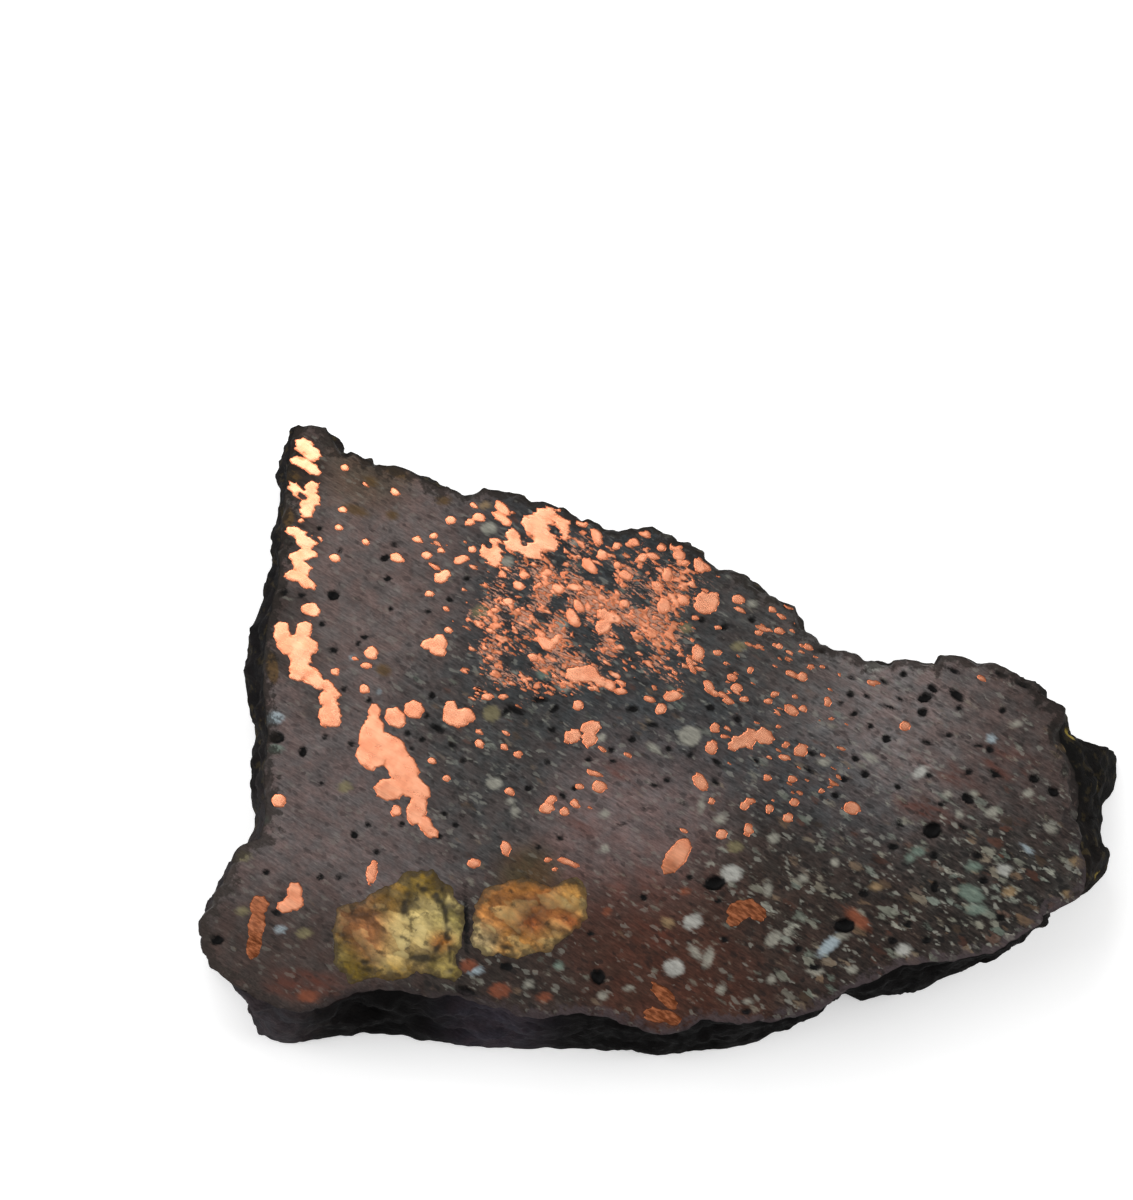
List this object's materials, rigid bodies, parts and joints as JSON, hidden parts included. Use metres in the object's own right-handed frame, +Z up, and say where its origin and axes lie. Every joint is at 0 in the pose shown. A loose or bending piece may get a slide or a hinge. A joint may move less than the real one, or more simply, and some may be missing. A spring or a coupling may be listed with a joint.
{
  "type": "sawn slab of native copper in basalt",
  "caption": "Flat sawn slab of dark vesicular basalt, broken round its edge, with native copper and calcite filling its old gas bubbles; lies flat as a mineral specimen.",
  "frame": {"origin": "middle of the slab's bounding box, on the lower saw cut that it lies on", "axes": "+Z up out of the polished face, +X along the slab's longest side, towards its blunt narrow end, +Y towards the long slanting edge"},
  "size_m": [0.0994, 0.0725, 0.012],
  "materials": {
    "stone": "satin",
    "copper": "satin",
    "yellow_calcite": "satin",
    "amber_calcite": "satin"
  },
  "bodies": {
    "root": {"stone": "stone", "copper_vein_tip": "copper", "copper_vein_1": "copper", "copper_vein_2": "copper", "copper_vein_3": "copper", "copper_vein_4": "copper", "copper_vein_5": "copper", "copper_tongue": "copper", "copper_bead_1": "copper", "copper_bead_2": "copper", "copper_heart_1": "copper", "copper_heart_2": "copper", "copper_north_patch": "copper", "copper_north_lump": "copper", "copper_north_sliver": "copper", "copper_centre_patch": "copper", "copper_east_patch": "copper", "copper_south_patch": "copper", "copper_east_cluster": "copper", "copper_pair": "copper", "copper_bud": "copper", "copper_bar": "copper", "copper_kidney": "copper", "copper_drip": "copper", "copper_hook": "copper", "copper_rim_sliver": "copper", "copper_rim_lump": "copper", "yellow_nodule": "yellow_calcite", "amber_nodule": "amber_calcite"}
  },
  "joints": []
}
